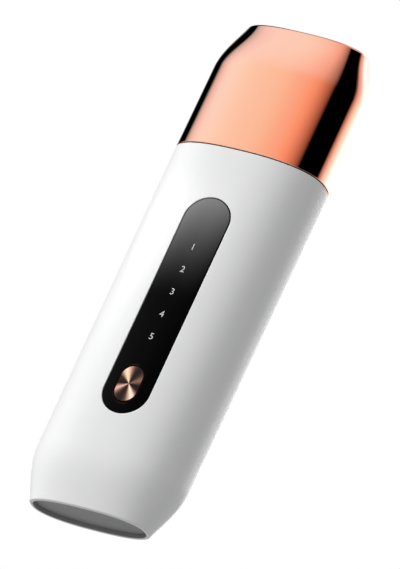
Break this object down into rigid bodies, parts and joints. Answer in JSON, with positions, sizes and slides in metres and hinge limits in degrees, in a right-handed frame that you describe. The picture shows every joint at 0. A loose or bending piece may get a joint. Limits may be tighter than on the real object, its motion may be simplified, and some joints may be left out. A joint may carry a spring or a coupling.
{
  "type": "ultrasonic facial device",
  "caption": "Handheld ultrasonic skin scrubber: white oval body, dark panel with mode marks and a metal power key, and a mirror-finished cap over a bent steel blade.",
  "frame": {"origin": "centre of the foot's flat rim, on the surface that the device stands on", "axes": "+Z from the foot to the cap along the body, +Y to the back, away from the control panel, +X to the right as seen from the panel's side"},
  "size_m": [0.049, 0.025, 0.16],
  "materials": {
    "shell_white": "satin moulded white plastic",
    "panel_black": "polished black acrylic",
    "adhesive_grey": "foam adhesive",
    "ring_copper": "copper-plated ring",
    "key_copper": "copper-coloured metal, spun finish",
    "plastic_black": "moulded",
    "plastic_ivory": "moulded",
    "led_white": "diffusing",
    "board_green": "solder mask",
    "steel_bright": "nickel plated",
    "chip_black": "moulded",
    "winding_copper": "enamelled wire",
    "ferrite": "sintered",
    "ceramic_tan": "fired",
    "plastic_grey": "moulded",
    "battery_foil": "laminated foil",
    "tape_yellow": "film",
    "wire_red": "insulation",
    "neck_white": "satin moulded white plastic",
    "rubber_grey": "silicone",
    "blade_steel": "polished stainless steel",
    "silicone_grey": "silicone",
    "steel_dark": "turned steel",
    "horn_metal": "turned",
    "piezo_ceramic": "fired, silvered faces",
    "contact_brass": "stamped",
    "wire_blue": "insulation",
    "frame_black": "moulded",
    "wire_orange": "insulation",
    "foot_grey": "fine moulded texture",
    "rose_gold": "mirror-plated rose gold"
  },
  "bodies": {
    "body": {"housing": "shell_white", "panel_lens": "panel_black", "panel_adhesive": "adhesive_grey", "key_ring": "ring_copper", "switch_body": "plastic_black", "light_baffle": "plastic_black", "mode_leds": "led_white", "main_board": "board_green", "board_screws": "steel_bright", "controller_chip": "chip_black", "power_chips": "chip_black", "drive_transformer": "winding_copper", "transformer_core": "ferrite", "board_capacitors": "ceramic_tan", "chassis": "plastic_grey", "chassis_screws": "steel_bright", "battery": "battery_foil", "battery_tape": "tape_yellow", "battery_leads": "wire_red", "neck": "neck_white", "neck_seal": "rubber_grey", "blade": "blade_steel", "blade_seal": "silicone_grey", "blade_pin": "steel_dark", "horn": "horn_metal", "piezo_rings": "piezo_ceramic", "contact_washers": "contact_brass", "back_mass": "steel_dark", "clamp_bolt": "steel_dark", "isolation_rings": "rubber_grey", "transducer_leads": "wire_blue", "charge_board": "board_green", "charge_socket": "steel_bright", "socket_tongue": "chip_black", "socket_frame": "frame_black", "charge_leads": "wire_orange", "foot_plate": "foot_grey", "foot_seal": "rubber_grey"},
    "key": {"power_key": "key_copper", "key_carrier": "plastic_black", "switch_plunger": "plastic_ivory"},
    "cap": {"cap": "rose_gold"}
  },
  "joints": [
    {"name": "cap_slide", "type": "slide", "parent": "body", "child": "cap", "axis": [0, 0, 1], "range_m": [0, 0.06]},
    {"name": "key_press", "type": "slide", "parent": "body", "child": "key", "axis": [0, 1, 0], "range_m": [0, 0.0003], "stiffness_N_per_m": 3000}
  ]
}
